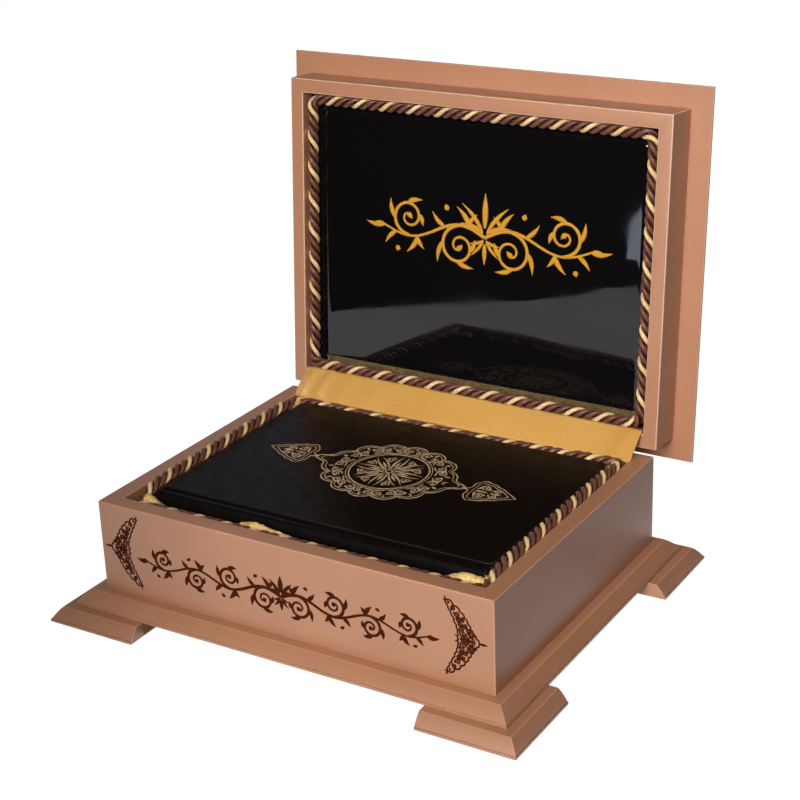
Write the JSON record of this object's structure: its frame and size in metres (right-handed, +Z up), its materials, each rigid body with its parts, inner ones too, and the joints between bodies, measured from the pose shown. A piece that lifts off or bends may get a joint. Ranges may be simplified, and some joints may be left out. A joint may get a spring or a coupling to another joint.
{
  "type": "quran box",
  "caption": "Painted wooden presentation box on corner feet, with a hinged padded lid standing open and a leather-bound book lying in a satin-lined well.",
  "frame": {"origin": "on the surface that the feet stand on, under the middle of the open box", "axes": "+X to the right along the front, +Y to the back where the lid is hinged, +Z up"},
  "size_m": [0.3448, 0.3096, 0.3209],
  "materials": {
    "paint": "satin copper metallic lacquer on fibreboard",
    "cord": "twisted rayon cord, gold and brown strands",
    "satin": "gold satin",
    "foam": "open foam",
    "velvet": "black velvet",
    "film": "clear glossy formed film",
    "leather": "black book leather, blind and gold tooled",
    "paper": "cream book paper",
    "thread": "woven headband",
    "brass": "plain brass"
  },
  "bodies": {
    "box": {"front_wall": "paint", "back_wall": "paint", "left_wall": "paint", "right_wall": "paint", "base_board": "paint", "foot_front_left": "paint", "foot_front_right": "paint", "foot_back_left": "paint", "foot_back_right": "paint", "box_rope": "cord", "satin_lining": "satin", "satin_stay": "satin", "foam_bed": "foam", "book_front_cover": "leather", "book_back_cover": "leather", "book_spine": "leather", "book_pages": "paper", "book_left_headband": "thread", "book_right_headband": "thread", "left_lower_leaf": "brass", "right_lower_leaf": "brass", "left_hinge_pin": "brass", "right_hinge_pin": "brass", "left_lower_screw_1": "brass", "left_lower_screw_2": "brass", "right_lower_screw_1": "brass", "right_lower_screw_2": "brass"},
    "lid": {"lid_front_rail": "paint", "lid_back_rail": "paint", "lid_left_rail": "paint", "lid_right_rail": "paint", "lid_board": "paint", "lid_rope": "cord", "foam_block": "foam", "velvet_panel": "velvet", "clear_cover": "film", "left_upper_leaf": "brass", "right_upper_leaf": "brass", "left_upper_screw_1": "brass", "left_upper_screw_2": "brass", "right_upper_screw_1": "brass", "right_upper_screw_2": "brass"}
  },
  "joints": [
    {"name": "lid_hinge", "type": "hinge", "parent": "box", "child": "lid", "pos_m": [0, 0.09927, 0.0822], "axis": [1, 0, 0], "range_deg": [0, 94.3], "deforming": ["satin_stay"]}
  ]
}
